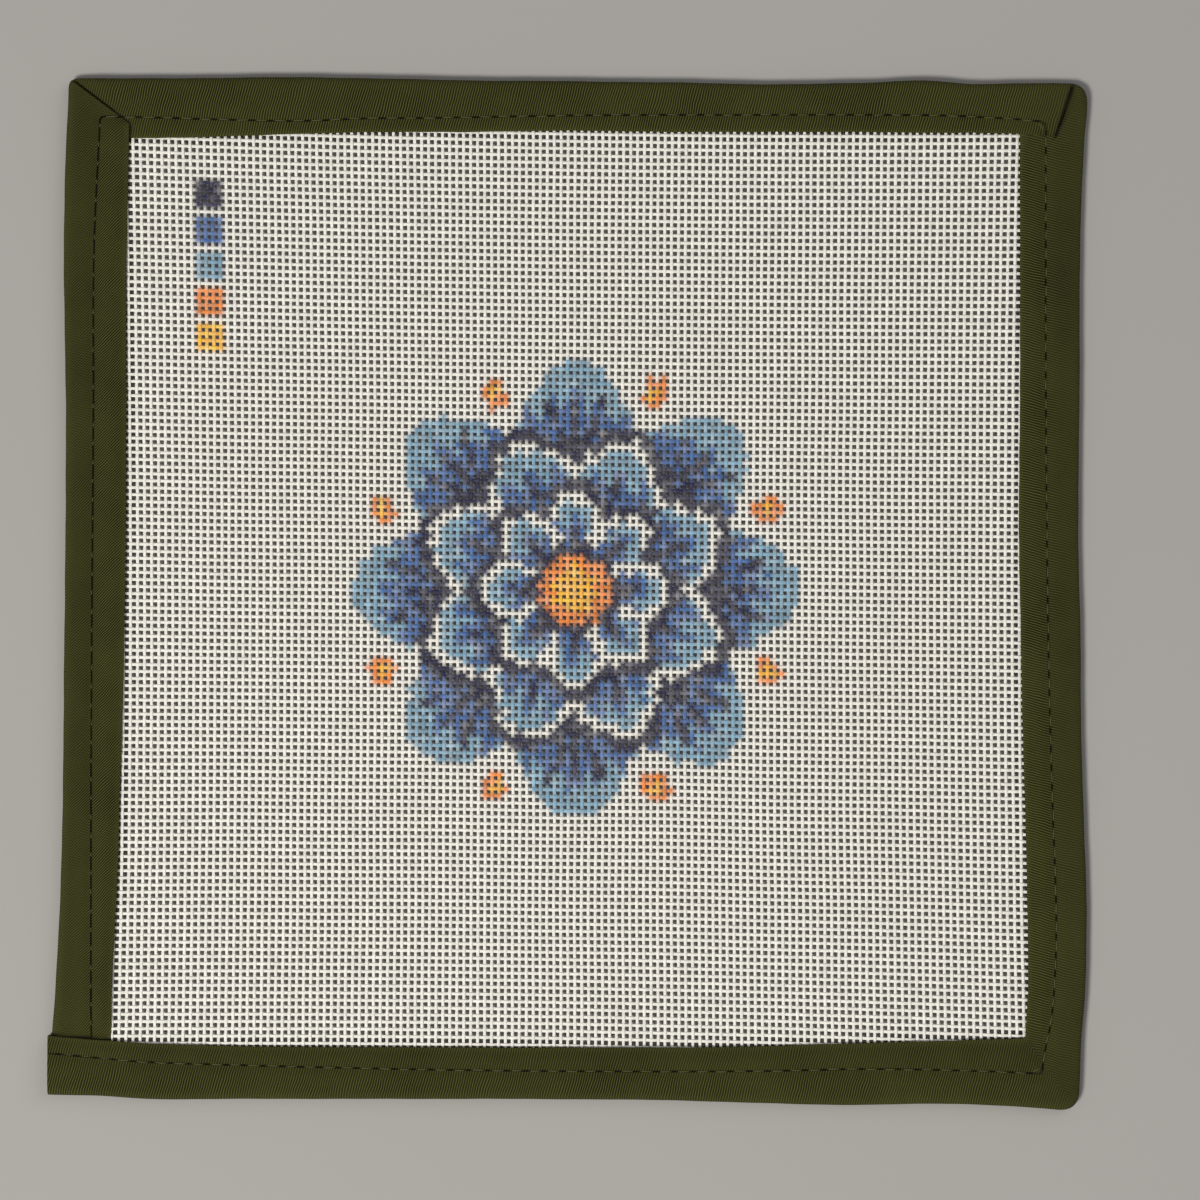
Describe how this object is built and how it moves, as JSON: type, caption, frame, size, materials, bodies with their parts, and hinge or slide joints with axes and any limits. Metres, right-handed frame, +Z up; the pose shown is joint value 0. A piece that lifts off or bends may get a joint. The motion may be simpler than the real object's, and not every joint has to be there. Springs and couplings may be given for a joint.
{
  "type": "needlepoint canvas panel",
  "caption": "Flat square of open-mesh needlepoint canvas with a painted blue motif, its four edges bound by one folded, machine-stitched bias tape.",
  "frame": {"origin": "under the middle of the panel's box, on the tape's lower face, which lies on the surface", "axes": "+Z up out of the front of the canvas, +Y towards the top edge of the panel, +X towards its right edge"},
  "size_m": [0.2086, 0.2074, 0.0036],
  "materials": {
    "canvas": "ivory cotton mono canvas, stiffened, with hand-painted colours",
    "binding": "dark olive cotton twill cut on the bias, pressed flat, matt with a faint sheen"
  },
  "bodies": {
    "root": {"canvas": "canvas", "binding": "binding"}
  },
  "joints": []
}
